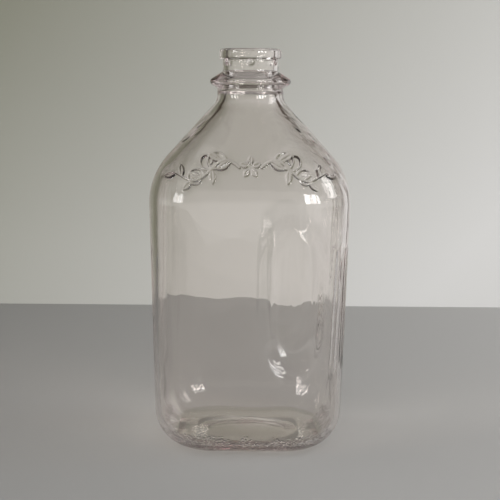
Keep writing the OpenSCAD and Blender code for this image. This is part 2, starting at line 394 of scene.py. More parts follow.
@dataclass(frozen=True)
class PaleBoard:
    """A flat matt board for the floor or the backdrop, whose colour holds painted light and shade:
    paler towards the brighter side of the room, and darker far from the part in full light.

    Args:
        name: Name of the material.
        dim: Its colour on the far side from the light, in linear light.
        light: Its colour towards the light.
        middle: Share of the light colour at the origin.
        slope: How fast that share grows along x, y and z, per metre.
        heart: Middle of the part that is in full light.
        squash: Shares that distances from the heart are counted at, along x, y and z.
        near: Distance from the heart where it starts to fall into shade, in metres.
        far: Distance where it lies all in shade.
        shade: Its colour there, a painted shade.
        mottle: How much the share wanders.
        mottle_scale: Patches of that wandering, per metre.
    """

    name: str
    dim: Colour
    light: Colour
    middle: float
    slope: Point3
    heart: Point3
    squash: Point3
    near: float
    far: float
    shade: Colour
    mottle: float = 0.03
    mottle_scale: float = 3.0

    def paint(self, d: Dresser) -> Wire:
        """Returns the board's colour over its whole face, with its painted light and painted shade."""
        vector, x, y, z = d.place()
        # Painted light: the share of the pale colour grows along a slope towards the brighter side of
        # the room.
        share = self.middle + self.slope[0] * x + self.slope[1] * y + self.slope[2] * z
        share = share + self.mottle * d.noise(vector, self.mottle_scale)
        share = d.node("ShaderNodeClamp", None, {0: share})
        # Painted shade: far from the heart the colour falls to the dark shade colour.
        arm = d.node("ShaderNodeVectorMath", {"operation": "SUBTRACT"}, {0: vector, 1: self.heart})
        arm = d.node("ShaderNodeVectorMath", {"operation": "MULTIPLY"}, {0: arm, 1: self.squash})
        away = d.node("ShaderNodeVectorMath", {"operation": "LENGTH"}, {0: arm}, "Value")
        return d.mix(away.smooth(self.near, self.far), d.mix(share, self.dim, self.light), self.shade)

    def material(self) -> bpy.types.Material:
        """Makes the board's paint."""
        d = Dresser(self.name)
        values = {"Base Color": self.paint(d), "Roughness": 0.75, "Specular IOR Level": 0.2}
        return d.surface(d.node("ShaderNodeBsdfPrincipled", None, values))


# --- Form ---


def ease(t: Array | float) -> Array:
    """Goes smoothly from 0 to 1 as t does."""
    k = np.clip(t, 0.0, 1.0)
    return k * k * (3.0 - 2.0 * k)


def root(a: Array) -> Array:
    """Returns the square root, or 0 where there is none."""
    return np.sqrt(np.maximum(a, 0.0))


@dataclass(frozen=True)
class BottleForm:
    """Sizes of the glass, in millimetres and degrees, and the curves that they give.

    Most names are those of the CAD source. The rest shape what only the looks have: worn
    edges, flutes that run out slowly and fade towards the back, and glass that has settled.
    """

    height: float = 242.0
    shoulder_w: float = 120.5
    heel_w: float = 113.5
    corner_r: float = 35.0
    bead_r: float = 18.9
    bead_h: float = 6.2
    bead_round: float = 2.0
    bead_under_round: float = 1.2
    mouth_bevel: float = 1.2
    collar_r: float = 17.0
    collar_h: float = 7.6
    bore_r: float = 14.2
    lug_count: int = 6
    lug_r: float = 2.5
    lug_stand: float = 1.5
    lug_drop: float = 1.8
    ring_r: float = 24.7
    ring_round: float = 2.4
    ring_slope: float = 32.0
    ring_under_slope: float = 31.0
    neck_r: float = 20.2
    neck_wall: float = 5.0
    neck_h: float = 3.8
    neck_blend: float = 9.0
    shoulder_round: float = 42.5
    shoulder_h: float = 64.0
    heel_round: float = 24.0
    floor_t: float = 7.7
    floor_crease: float = 0.9
    pushup_r: float = 31.0
    pushup_step: float = 1.0
    step_worn: float = 3.0
    pushup_h: float = 4.2
    floor_centre_t: float = 5.0
    body_wall: float = 3.9
    grip_depth: float = 8.5
    grip_x: float = 26.0
    grip_half_w: float = 21.0
    grip_edge: float = 12.0
    grip_end: float = 34.0
    grip_z0: float = 45.0
    grip_under_shoulder: float = 4.0
    flute_count: int = 21
    flute_pitch: float = 5.0
    flute_w: float = 4.2
    flute_depth: float = 0.45
    flute_end: float = 6.0
    flute_z0: float = 49.5
    flute_under_shoulder: float = 24.0
    flute_soft: float = 0.12
    flute_margin: float = 0.8
    flute_fade: float = 0.8
    fade_from: float = -20.0
    fade_run: float = 30.0
    settled_t: float = 1.0
    settled_below: float = 125.0
    settled_run: float = 85.0
    settled_foot: float = 25.0

    @property
    def bead_z(self) -> float:
        """Level where the bead starts."""
        return self.height - self.bead_h

    @property
    def collar_z(self) -> float:
        """Level where the collar starts."""
        return self.bead_z - self.collar_h

    @property
    def ring_corner(self) -> Point2:
        """Radius and level where the ring's two cones would meet."""
        up, down = (math.tan(math.radians(a)) for a in (self.ring_slope, self.ring_under_slope))
        # The rim's round touches both cones, so its centre lies a rounding inside each.
        run_up = self.ring_round * (1.0 / math.cos(math.radians(self.ring_slope)))
        run_down = self.ring_round * (1.0 / math.cos(math.radians(self.ring_under_slope)))
        centre = self.ring_r - self.ring_round
        mid = self.collar_z - (centre - self.collar_r) * up - run_up
        radius = centre + (run_up + run_down) / (up + down)
        return radius, mid + run_up - (radius - centre) * up

    @property
    def ring_z(self) -> float:
        """Level of the ring's root on the neck."""
        radius, level = self.ring_corner
        return level - (radius - self.neck_r) * math.tan(math.radians(self.ring_under_slope))

    @property
    def neck_blend_z(self) -> float:
        """Level where the neck's upright part starts."""
        return self.ring_z - self.neck_h

    @property
    def shoulder_z(self) -> float:
        """Level where the straight body ends."""
        return self.neck_blend_z - self.shoulder_h

    @property
    def cone_angle(self) -> float:
        """Slope of the shoulder's cone from upright, in radians."""
        run = self.neck_r + self.neck_blend - (self.shoulder_w / 2.0 - self.shoulder_round)
        reach = math.hypot(run, self.shoulder_h)
        rounds = self.shoulder_round + self.neck_blend
        return math.atan2(self.shoulder_h, run) - math.acos(rounds / reach)

    @property
    def neck_z(self) -> float:
        """Level where the shoulder's cone runs into the neck's hollow curve."""
        return self.neck_blend_z - self.neck_blend * math.sin(self.cone_angle)

    @property
    def grip_z1(self) -> float:
        """Level of the grip recess's upper end."""
        return self.shoulder_z - self.grip_under_shoulder

    @property
    def flute_z1(self) -> float:
        """Level of the flutes' upper end."""
        return self.shoulder_z - self.flute_under_shoulder

    @property
    def step_r(self) -> float:
        """Radius of the lens-shaped middle of the hollow under the base."""
        return self.pushup_r - self.pushup_step

    def body_half(self, z: Array) -> Array:
        """Half width across the flats of the straight body."""
        t = (z - self.heel_round) / (self.shoulder_z - self.heel_round)
        return (self.heel_w + (self.shoulder_w - self.heel_w) * t) / 2.0

    def foot_inset(self, h: Array, r: float) -> Array:
        """How far a rounded foot of radius r stands in from the wall, h above its lowest point."""
        rest = np.clip(r - h, 0.0, r)
        return r - np.sqrt(r * r - rest * rest)

    def shoulder_half(self, z: Array, t: Array | float) -> Array:
        """Half width of the shoulder and neck, set in by t from the outside."""
        a = self.cone_angle
        round_c = self.shoulder_w / 2.0 - self.shoulder_round
        blend_c = self.neck_r + self.neck_blend
        round_end = self.shoulder_z + (self.shoulder_round - t) * math.sin(a)
        blend_end = self.neck_blend_z - (self.neck_blend + t) * math.sin(a)
        round_rest = (self.shoulder_round - t) ** 2 - (z - self.shoulder_z) ** 2
        on_round = round_c + root(round_rest)
        on_cone = round_c + (self.shoulder_round - t) * math.cos(a) - (z - round_end) * math.tan(a)
        blend_rest = (self.neck_blend + t) ** 2 - (self.neck_blend_z - z) ** 2
        on_blend = blend_c - root(blend_rest)
        half = np.where(z <= round_end, on_round, np.where(z < blend_end, on_cone, on_blend))
        return np.where(z < self.neck_blend_z, half, self.neck_r - t)

    def wall(self, z: Array) -> Array:
        """Thickness of the glass, which grows up the shoulder to that of the neck."""
        share = ease((z - self.shoulder_z) / (self.neck_z - self.shoulder_z))
        return self.body_wall + (self.neck_wall - self.body_wall) * share

    def outer_half(self, z: Array) -> Array:
        """Half width of the outside."""
        body = self.body_half(z) - self.foot_inset(z, self.heel_round)
        return np.where(z < self.shoulder_z, body, self.shoulder_half(z, 0.0))

    def thickening(self, z: Array) -> Array:
        """How much thicker the flat walls run towards the heel, where the glass settled."""
        below = ease((self.settled_below - z) / self.settled_run)
        return self.settled_t * below * ease((z - self.floor_t) / self.settled_foot)

    def inner_half(self, z: Array) -> Array:
        """Half width of the inside."""
        inset = self.foot_inset(z - self.body_wall, self.heel_round - self.body_wall)
        body = self.body_half(z) - self.body_wall - inset
        return np.where(z < self.shoulder_z, body, self.shoulder_half(z, self.wall(z)))

    def flat_half(self, z: Array) -> Array:
        """Half length of the straight side between two corners."""
        flat = self.body_half(np.minimum(z, self.shoulder_z)) - self.corner_r
        return flat * (1.0 - ease((z - self.shoulder_z) / (self.neck_z - self.shoulder_z)))

    @staticmethod
    def rounded_square(angle: Array, half: Array, flat: Array) -> Array:
        """Distance from the axis to a square with rounded corners.

        Args:
            angle: Directions, in radians.
            half: Half widths across the flats.
            flat: Half lengths of the straight sides.

        Returns:
            The distances.
        """
        quarter = math.pi / 2.0
        a = np.abs((angle + quarter / 2.0) % quarter - quarter / 2.0)
        r = half - flat
        rest = r * r - flat * flat * (1.0 - np.sin(2.0 * a))
        corner = flat * (np.cos(a) + np.sin(a)) + root(rest)
        return np.where(half * np.tan(a) <= flat, half / np.cos(a), corner)

    def grip_share(self, x: Array, z: Array) -> Array:
        """Share of the grip recess's full depth at a point of the front or back face."""
        nearest = np.clip(z, self.grip_z0 + self.grip_end, self.grip_z1 - self.grip_end)
        away = np.hypot(x - self.grip_x, (z - nearest) * self.grip_half_w / self.grip_end)
        return ease((self.grip_half_w - away) / self.grip_edge)

    def press_grips(self, x: Array, y: Array, z: Array, half: Array) -> Array:
        """Presses the two grip recesses into a wall.

        Args:
            x, y, z: Places across the front, from front to back, and up.
            half: Half widths of the wall across its flats.

        Returns:
            The new places from front to back.
        """
        over = np.maximum(0.0, np.abs(y) - (half - self.grip_depth))
        inside = (z > self.grip_z0) & (z < self.grip_z1)
        return np.where(inside, y - np.sign(y) * over * self.grip_share(x, z), y)

    def faded(self, y: Array) -> Array:
        """Share of their depth that the flutes keep, which falls towards the back."""
        return 1.0 - self.flute_fade * ease((y - self.fade_from) / self.fade_run)

    def flute_cut(self, x: Array, y: Array, z: Array) -> tuple[Array, Array, Array]:
        """Depth of the flutes at points of the outside wall, and the wall's normal there.

        Args:
            x, y, z: Places across the front, from front to back, and up.

        Returns:
            The depths, and the normals' x and y parts.
        """
        flat = self.body_half(z) - self.corner_r
        bent = np.abs(y) > flat
        turn = np.where(bent, np.arctan2(np.abs(y) - flat, np.maximum(x - flat, 1e-6)), 0.0)
        run = np.where(bent, flat + turn * self.corner_r, np.abs(y)) * np.sign(y)
        place = run / self.flute_pitch
        middle = np.round(place) if self.flute_count % 2 else np.floor(place) + 0.5
        last = (self.flute_count - 1) / 2.0
        middle = np.clip(middle, -last, last)
        rod = (self.flute_w**2 / 4.0 + self.flute_depth**2) / (2.0 * self.flute_depth)
        tip = self.flute_end * self.flute_w / 2.0
        beyond = (z - np.clip(z, self.flute_z0 + tip, self.flute_z1 - tip)) / self.flute_end
        away = np.hypot(run - middle * self.flute_pitch, beyond)
        sunk = root(rod * rod - away * away) - (rod - self.flute_depth)
        # A square root rounds off the flute's sharp edge, and lifts it by a little that is taken back.
        soft = self.flute_soft
        sunk = 0.5 * (sunk + np.sqrt(sunk * sunk + soft * soft)) - 0.5 * soft * 0.3
        edge = self.flute_w / 2.0 + self.flute_margin
        near = (x > 0.0) & (away < edge)
        depth = np.where(near, np.clip(sunk, 0.0, self.flute_depth), 0.0)
        return depth * ease((edge - away) / 0.6), np.cos(turn), np.sin(turn) * np.sign(y)


# --- Profiles ---


def spread(start: float, end: float, step: float) -> Array:
    """Values from start up to, and not including, end, about a step apart."""
    count = max(1, round(abs(end - start) / step))
    return start + (end - start) * np.arange(count) / count


def ladder(marks: Sequence[Point2], end: float) -> Array:
    """Lists values from mark to mark, up to and not including the end.

    Args:
        marks: Where each run starts, and about how far apart its values are.
        end: Where the last run ends.

    Returns:
        The values.
    """
    stops = [start for start, _ in marks[1:]] + [end]
    return np.concatenate([spread(start, stop, step) for (start, step), stop in zip(marks, stops)])


def rounded_path(corners: Sequence[tuple[float, float, float]], step: float) -> list[Point2]:
    """Draws a line through corners and rounds each one.

    Args:
        corners: Radius, level and rounding of each corner.
        step: Distance between points on the rounds.

    Returns:
        Points along the line.
    """
    points: list[Point2] = [corners[0][:2]]
    for before, here, after in zip(corners, corners[1:], corners[2:]):
        p, a, b = (np.array(c[:2]) for c in (here, before, after))
        to_a, to_b = (a - p) / np.linalg.norm(a - p), (b - p) / np.linalg.norm(b - p)
        half_turn = math.acos(float(np.clip(to_a @ to_b, -1.0, 1.0))) / 2.0
        middle = (to_a + to_b) / np.linalg.norm(to_a + to_b)
        centre = p + middle * here[2] / math.sin(half_turn)
        first = p + to_a * here[2] / math.tan(half_turn) - centre
        last = p + to_b * here[2] / math.tan(half_turn) - centre
        sweep = math.pi - 2.0 * half_turn
        count = max(2, math.ceil(sweep * here[2] / step))
        for i in range(count + 1):
            t = i / count
            arm = (math.sin((1.0 - t) * sweep) * first + math.sin(t * sweep) * last) / math.sin(sweep)
            points.append(tuple(centre + arm))
    points.append(corners[-1][:2])
    return points


def filled_in(points: Sequence[Point2], step: float) -> list[Point2]:
    """Adds points to a line so that none are more than about a step apart."""
    filled: list[Point2] = []
    for a, b in zip(points, points[1:]):
        count = max(1, round(math.dist(a, b) / step))
        dx, dz = b[0] - a[0], b[1] - a[1]
        filled += [(a[0] + dx * i / count, a[1] + dz * i / count) for i in range(count)]
    return filled + [points[-1]]


class Surface(Enum):
    """The two walls that are spun apart and then joined at the neck."""

    OUTSIDE = "outside"
    MOUTH_AND_INSIDE = "mouth_and_inside"


@dataclass(frozen=True)
class Wall:
    """A wall's profile and how its upright lines of points are spread.

    Args:
        surface: Which wall it is.
        points: Half width, level and half length of the straight side at each point.
        columns: How many upright lines go round it.
        fine: Distance between lines on the fluted side, in millimetres.
        medium: The same, about, for the lines over the grip recesses.
        coarse: The same, about, for the lines on the plain side.
        even_from: Level where the lines start to spread evenly.
        even_to: Level above which they are even.
    """

    surface: Surface
    points: Array
    columns: int
    fine: float
    medium: float
    coarse: float
    even_from: float
    even_to: float


@dataclass(frozen=True)
class ProfileMaker:
    """Draws the profiles of the two walls.

    Args:
        form: The bottle's sizes.
        join_drop: How far below the ring's root the two walls join, in millimetres.
    """

    form: BottleForm
    join_drop: float = 0.9

    def _lens(self, rise: float, base: float, step: float) -> list[Point2]:
        """Points of a round lens, from its middle to its edge."""
        f = self.form
        ball = (f.step_r**2 + rise**2) / (2.0 * rise)
        drop = ball - rise
        return [(r, base + math.sqrt(ball**2 - r**2) - drop) for r in spread(0.0, f.step_r, step)]

    def outside(self) -> Wall:
        """Draws the outside, from the middle of the base up to the neck.

        Returns:
            The wall.
        """
        f = self.form
        foot = float(f.outer_half(np.array(0.0)))
        under = self._lens(f.pushup_h - f.pushup_step, f.pushup_step, 2.6)
        step = [(f.step_r - f.step_worn, f.pushup_step, 8.0), (f.pushup_r, 0.0, 6.0)]
        under = [point for point in under if point[0] < f.step_r - f.step_worn - 2.0]
        corners = [(*under[-1], 0.0), *step, (foot, 0.0, 0.0)]
        under = under[:-1] + filled_in(rounded_path(corners, 0.7)[:-1], 1.6)
        rows = [(r, z, 0.0) for r, z in under]
        foot_flat = float(f.flat_half(np.array(0.0)))
        start = under[-1][0]
        for half in spread(start, foot, 1.2)[1:]:
            rows.append((half, 0.0, foot_flat * (half - start) / (foot - start)))
        arc = f.heel_round * (1.0 - np.cos(np.radians(spread(0.0, 90.0, 4.0))))
        end = f.ring_z - self.join_drop
        marks = [
            (f.heel_round, 2.4),
            (f.flute_z0 - 1.0, 1.2),
            (f.flute_z0 + 9.0, 2.0),
            (f.grip_z0 + f.grip_end, 5.0),
            (f.grip_z1 - f.grip_end, 2.0),
            (f.flute_z1 - 9.0, 1.2),
            (f.flute_z1 + 1.0, 1.6),
            (f.shoulder_z, 1.3),
            (f.shoulder_z + 39.0, 1.8),
            (f.neck_z, 0.9),
        ]
        levels = np.concatenate([arc, ladder(marks, end), [end]])
        rows += list(zip(f.outer_half(levels), levels, f.flat_half(levels)))
        return Wall(
            Surface.OUTSIDE, np.array(rows), columns=328, fine=f.flute_pitch / 7.0, medium=1.25,
            coarse=2.2, even_from=f.flute_z1 + 2.0, even_to=f.shoulder_z + 8.0,
        )

    def mouth_and_inside(self) -> Wall:
        """Draws the finish, the mouth and the inside, down to the middle of the floor.

        Returns:
            The wall.
        """
        f = self.form
        corners = [
            (f.neck_r, f.ring_z - self.join_drop, 0.0),
            (f.neck_r, f.ring_z, 0.8),
            (*f.ring_corner, f.ring_round),
            (f.collar_r, f.collar_z, 0.9),
            (f.collar_r, f.bead_z, 0.5),
            (f.bead_r, f.bead_z, f.bead_under_round),
            (f.bead_r, f.height, f.bead_round),
            (f.bore_r + f.mouth_bevel, f.height, 0.6),
            (f.bore_r, f.height - f.mouth_bevel, 0.9),
            (f.bore_r, f.ring_z, 1.5),
            (float(f.inner_half(np.array(f.neck_blend_z))), f.neck_blend_z, 0.0),
        ]
        path = filled_in(rounded_path(corners, 0.4), 0.8)
        rows = [(r, z, 0.0) for r, z in path[:-1]]
        turned = f.heel_round - f.body_wall
        crease = math.asin((f.heel_round - f.floor_t) / turned)
        flat = float(f.flat_half(np.array(f.floor_t)))
        marks = [
            (f.neck_blend_z, 1.1),
            (f.neck_z - 4.0, 2.4),
            (f.shoulder_z, 2.2),
            (f.grip_z1 - f.grip_end, 6.0),
            (f.grip_z0 + f.grip_end, 2.2),
            (f.grip_z0 - 2.0, 4.0),
        ]
        heel = f.heel_round - turned * np.sin(spread(0.0, crease - 0.14, 0.09))
        levels = np.concatenate([ladder(marks, f.heel_round), heel])
        rows += list(zip(f.inner_half(levels), levels, f.flat_half(levels)))
        floor_half = float(f.inner_half(np.array(f.floor_t)))
        crease_corner = (floor_half, f.floor_t, f.floor_crease)
        corners = [(*rows[-1][:2], 0.0), crease_corner, (f.step_r, f.floor_t, 0.0)]
        for half, level in filled_in(rounded_path(corners, 0.4), 1.8)[1:-1]:
            share = min(1.0, (half - f.step_r) / (floor_half - f.step_r))
            rows.append((half, level, rows[-1][2] if share == 1.0 else flat * share))
        lens = self._lens(f.pushup_h + f.floor_centre_t - f.floor_t, f.floor_t, 3.0)
        rows += [(r, z, 0.0) for r, z in [(f.step_r, f.floor_t)] + lens[::-1]]
        return Wall(
            Surface.MOUTH_AND_INSIDE, np.array(rows), columns=160, fine=2.6, medium=2.0,
            coarse=3.4, even_from=f.shoulder_z, even_to=f.neck_blend_z,
        )


# --- Ornament ---


# Width of the slope at a raised edge, in millimetres.
SLOPE = 0.55


@dataclass(frozen=True)
class Stroke:
    """A raised line of the ornament.

    Args:
        points: Places across the front and levels, in millimetres.
        width: Width of the line at its middle.
        taper: Share of the width that is left at its far end.
    """

    points: tuple[Point2, ...]
    width: float
    taper: float = 1.0

    def height(self, x: Array, z: Array) -> Array:
        """Returns how much of its full height the line has at each point, from 0 to 1."""
        best = np.zeros_like(x)
        last = len(self.points) - 1
        for i, (a, b) in enumerate(zip(self.points, self.points[1:])):
            dx, dz = b[0] - a[0], b[1] - a[1]
            t = np.clip(((x - a[0]) * dx + (z - a[1]) * dz) / (dx * dx + dz * dz), 0.0, 1.0)
            away = np.hypot(x - a[0] - t * dx, z - a[1] - t * dz)
            width = self.width * (1.0 + (self.taper - 1.0) * (i + t) / last)
            best = np.maximum(best, ease((0.5 * width - away) / SLOPE))
        return best


@dataclass(frozen=True)
class Leaf:
    """A raised almond-shaped leaf with a groove for its midrib.

    Args:
        root: Where it leaves the stem.
        angle: Direction of its tip, in degrees.
        length: Length from root to tip.
        width: Width at its middle.
    """

    root: Point2
    angle: float
    length: float
    width: float

    def height(self, x: Array, z: Array) -> Array:
        """Returns how much of its full height the leaf has at each point, from 0 to 1."""
        c, s = math.cos(math.radians(self.angle)), math.sin(math.radians(self.angle))
        u = ((x - self.root[0]) * c + (z - self.root[1]) * s) / self.length
        v = np.abs(-(x - self.root[0]) * s + (z - self.root[1]) * c)
        side = 0.5 * self.width * np.sin(math.pi * np.clip(u, 0.0, 1.0)) ** 0.8
        body = ease((side - v) / SLOPE) * ((u > 0.0) & (u < 1.0))
        groove = 0.6 * ease(1.0 - v / 0.6) * ease((0.85 - u) / 0.2)
        return np.clip(body - groove * body, 0.0, 1.0)


@dataclass(frozen=True)
class ShoulderSprig:
    """A plain leafy garland raised on the front of the shoulder.

    Args:
        height: How far it stands out of the glass, in millimetres.
        middle: Level of its middle.
        reach: Half of its width.
        curls: Tendrils: point of the stem, starting direction, turns and size.
    """

    height: float = 0.95
    middle: float = 172.0
    reach: float = 45.0
    curls: tuple[tuple[int, float, float, float], ...] = (
        (8, 70.0, -1.25, 4.6), (21, 62.0, -1.2, 4.0), (14, -60.0, 1.15, 3.8),
    )

    def _stem(self, side: int) -> list[Point2]:
        """Returns points along one half's stem, from the rosette to its tip."""
        ts = np.linspace(0.0, 1.0, 40)
        xs = 6.5 + (self.reach - 8.5) * ts
        zs = self.middle + 1.0 + 4.2 * np.sin(ts * math.pi * 2.2) - 6.5 * ts**1.6
        return [(side * float(x), float(z)) for x, z in zip(xs, zs)]

    def _curl(self, root: Point2, start: float, turns: float, radius: float, side: int) -> Stroke:
        """Returns a tendril that leaves the stem and rolls up."""
        points = [root]
        angle, x, z = math.radians(start), *root
        count = 30
        for i in range(count):
            step = radius * 0.34 * (1.0 - 0.62 * i / count)
            x, z = x + side * step * math.cos(angle), z + step * math.sin(angle)
            angle += turns * 2.0 * math.pi / count
            points.append((x, z))
        return Stroke(tuple(points), 1.7, 0.75)

    def parts(self) -> list[Stroke | Leaf]:
        """Returns every raised part of the garland."""
        made: list[Stroke | Leaf] = []
        for side in (-1, 1):
            stem = self._stem(side)
            made.append(Stroke(tuple(stem), 2.3, 0.6))
            for i, k in enumerate((5, 11, 17, 23, 29, 35)):
                (x0, z0), (x1, z1) = stem[k - 1], stem[k + 1]
                lean = math.degrees(math.atan2(z1 - z0, (x1 - x0) * side))
                angle = lean + (52.0 if i % 2 else -52.0)
                angle = angle if side > 0 else 180.0 - angle
                made.append(Leaf(stem[k], angle, 9.6 - 0.5 * i, 4.6 - 0.2 * i))
            tip = stem[-1]
            made.append(Leaf(tip, -18.0 if side > 0 else 198.0, 7.5, 3.6))
            for k, *curl in self.curls:
                made.append(self._curl(stem[k], *curl, side))
        for i in range(5):
            turn = math.radians(90.0 + 72.0 * i)
            root = (1.2 * math.cos(turn), self.middle + 1.0 + 1.2 * math.sin(turn))
            made.append(Leaf(root, math.degrees(turn), 5.4, 3.9))
        return made

    def field(self, x: Array, z: Array) -> Array:
        """Returns how far the garland stands out at points of the front, in millimetres."""
        best = np.zeros_like(x)
        for part in self.parts():
            best = np.maximum(best, part.height(x, z))
        return self.height * best


# --- The bottle ---


def only(obj: bpy.types.Object) -> None:
    """Makes an object the one that is selected and active, in object mode."""
    if bpy.context.mode != "OBJECT":
        bpy.ops.object.mode_set(mode="OBJECT")
    bpy.ops.object.select_all(action="DESELECT")
    obj.select_set(True)
    bpy.context.view_layer.objects.active = obj


@contextmanager
def editing(obj: bpy.types.Object, action: str | None = None) -> Iterator[None]:
    """Opens an object in edit mode for a while.

    Args:
        obj: The object.
        action: Whether to start with all of its mesh selected or none, if either.
    """
    only(obj)
    bpy.ops.object.mode_set(mode="EDIT")
    if action is not None:
        bpy.ops.mesh.select_all(action=action)
    yield
    bpy.ops.object.mode_set(mode="OBJECT")


def gather(items: bpy.types.bpy_prop_collection, name: str) -> Array:
    """Reads a vector that every item of a collection has, one row each."""
    values = np.empty(len(items) * 3)
    items.foreach_get(name, values)
    return values.reshape(-1, 3)


def places(obj: bpy.types.Object) -> Array:
    """Returns a mesh's points, in millimetres."""
    return gather(obj.data.vertices, "co") / MM


def put(obj: bpy.types.Object, co: Array) -> None:
    """Moves a mesh's points to new places, in millimetres."""
    obj.data.vertices.foreach_set("co", (co * MM).ravel())
    obj.data.update()


@dataclass
class GlassBottle:
    """The bottle's one moulding of glass.

    Args:
        form: Its sizes.
        sprig: The ornament on its shoulder.
        finish: Its glass.
        nodes: The CAD nodes that it stands for.
        slot: Name of a material slot; it is not used.
        waviness: Size of the slow unevenness inside, in millimetres.
    """

    form: BottleForm = field(default_factory=BottleForm)
    sprig: ShoulderSprig = field(default_factory=ShoulderSprig)
    finish: ClearGlass = field(default_factory=ClearGlass)
    nodes: tuple[str, ...] = (
        "cap_bead", "collar", "neck_ring", "neck", "shoulder", "body", "heel", "base",
    )
    slot: str = "clear_glass"
    waviness: float = 0.07

    def _spin(self, wall: Wall) -> bpy.types.Object:
        """Spins a wall's profile into a round shell, whose points keep their straight lengths."""
        count = len(wall.points)
        bpy.ops.object.select_all(action="DESELECT")
        bpy.ops.mesh.primitive_grid_add(x_subdivisions=1, y_subdivisions=count - 1, size=1.0)
        shell = bpy.context.object
        shell.name = wall.surface.value
        with editing(shell, "DESELECT"):
            pass
        for vertex in shell.data.vertices:
            vertex.select = vertex.co.x > 0.0
        with editing(shell):
            bpy.ops.mesh.delete(type="VERT")
        line = places(shell)
        order = np.argsort(line[:, 1])
        line[order] = np.column_stack([wall.points[:, 0], np.zeros(count), wall.points[:, 1]])
        put(shell, line)
        flats = np.empty(count, np.float32)
        flats[order] = wall.points[:, 2]
        outer = np.full(count, float(wall.surface is Surface.OUTSIDE), np.float32)
        for name, values in (("flat", flats), ("outer", outer)):
            shell.data.attributes.new(name, "FLOAT", "POINT").data.foreach_set("value", values)
        axis = {"center": (0.0, 0.0, 0.0), "axis": (0.0, 0.0, 1.0)}
        with editing(shell, "SELECT"):
            bpy.ops.mesh.spin(steps=wall.columns, angle=2.0 * math.pi, **axis)
            bpy.ops.mesh.select_all(action="SELECT")
            bpy.ops.mesh.remove_doubles(threshold=MERGE)
        return shell

    def _directions(self, wall: Wall, turns: Array, z: Array) -> Array:
        """Moves evenly spaced upright lines closer together where the wall has detail.

        The lines on the fluted side keep their places on the flutes while the wall widens.

        Args:
            wall: The wall.
            turns: Directions as spun, in radians from 0 to a full turn.
            z: Levels.

        Returns:
            The new directions.
        """
        f = self.form
        middle = f.shoulder_w / 2.0 - f.corner_r
        whole = 4.0 * middle + f.corner_r * math.pi
        margin = 4.0
        fluted = f.flute_pitch * f.flute_count / 2.0 + margin
        gripped = 2.0 * middle + f.corner_r * math.pi / 2.0 - (f.grip_x - f.grip_half_w) + 2.0
        run = np.linspace(0.0, whole, 4001)
        gap = np.where(run < fluted, wall.fine, np.where(run < gripped, wall.medium, wall.coarse))
        # A moving mean makes the spacing change little by little.
        reach = 60
        window = 2 * reach + 1
        gap = np.convolve(np.pad(gap, reach, mode="edge"), np.ones(window) / window, mode="valid")
        lines = np.concatenate([[0.0], np.cumsum(run[1] / gap[1:])])
        first = np.interp(fluted - margin, run, lines)
        stretch = (wall.columns / 2.0 - first) / (lines[-1] - first)
        lines = np.where(lines > first, first + (lines - first) * stretch, lines)
        order = turns / (2.0 * math.pi) * wall.columns
        mirrored = order > wall.columns / 2.0
        place = np.interp(np.where(mirrored, wall.columns - order, order), lines, run)
        half = f.body_half(np.clip(z, f.flute_z0 - margin, f.shoulder_z))
        flat = half - f.corner_r
        share = np.clip((place - fluted) / (whole - fluted), 0.0, 1.0)
        place = place + 4.0 * (flat - middle) * share
        side, rest = np.divmod(place + flat, 2.0 * flat + f.corner_r * math.pi / 2.0)
        bend = np.maximum(rest - 2.0 * flat, 0.0) / f.corner_r
        px = np.where(bend > 0.0, flat + f.corner_r * np.cos(bend), half)
        py = np.where(bend > 0.0, flat + f.corner_r * np.sin(bend), rest - flat)
        angle = np.arctan2(py, px) + side * math.pi / 2.0
        angle = np.where(mirrored, 2.0 * math.pi - angle, angle)
        even = ease((z - wall.even_from) / (wall.even_to - wall.even_from))
        return angle + (turns - angle) * even

    def _square_up(self, shell: bpy.types.Object, wall: Wall) -> None:
        """Turns a round shell into the square wall with its recesses, flutes and lugs."""
        f = self.form
        co = places(shell)
        flat = np.empty(len(co), np.float32)
        shell.data.attributes["flat"].data.foreach_get("value", flat)
        half, z = np.hypot(co[:, 0], co[:, 1]), co[:, 2]
        turns = np.arctan2(co[:, 1], co[:, 0]) % (2.0 * math.pi)
        turns[turns > 2.0 * math.pi - 1e-5] = 0.0
        if wall.surface is Surface.OUTSIDE:
            walls = z > f.heel_round + 1.0
            half = np.where(walls, f.outer_half(z), half)
            flat = np.where(walls, f.flat_half(z), flat)
        angle = self._directions(wall, turns, z)
        reach = f.rounded_square(angle, half, flat)
        x, y = reach * np.cos(angle), reach * np.sin(angle)
        y = f.press_grips(x, y, z, half)
        if wall.surface is Surface.OUTSIDE:
            depth, nx, ny = f.flute_cut(reach * np.cos(angle), reach * np.sin(angle), z)
            middle, reach_z = (f.flute_z0 + f.flute_z1) / 2.0, (f.flute_z1 - f.flute_z0) / 2.0
            fluted = np.abs(z - middle) < reach_z + 1.0
            depth = np.where(fluted, depth * f.faded(y), 0.0)
            x, y = x - depth * nx, y - depth * ny
        else:
            x, y = self._raise_lugs(x, y, z, half, angle)
            x, y = self._wave(x, y, z, half)
        put(shell, np.column_stack([x, y, z]))

    def _from_lug(self, angle: Array, z: Array) -> tuple[Array, Array]:
        """Returns how far round the collar and how far up points are from the nearest lug's middle."""
        f = self.form
        pitch = 2.0 * math.pi / f.lug_count
        off = (angle + math.pi / 2.0 + pitch / 2.0) % pitch - pitch / 2.0
        return f.collar_r * off, z - f.bead_z + f.lug_drop

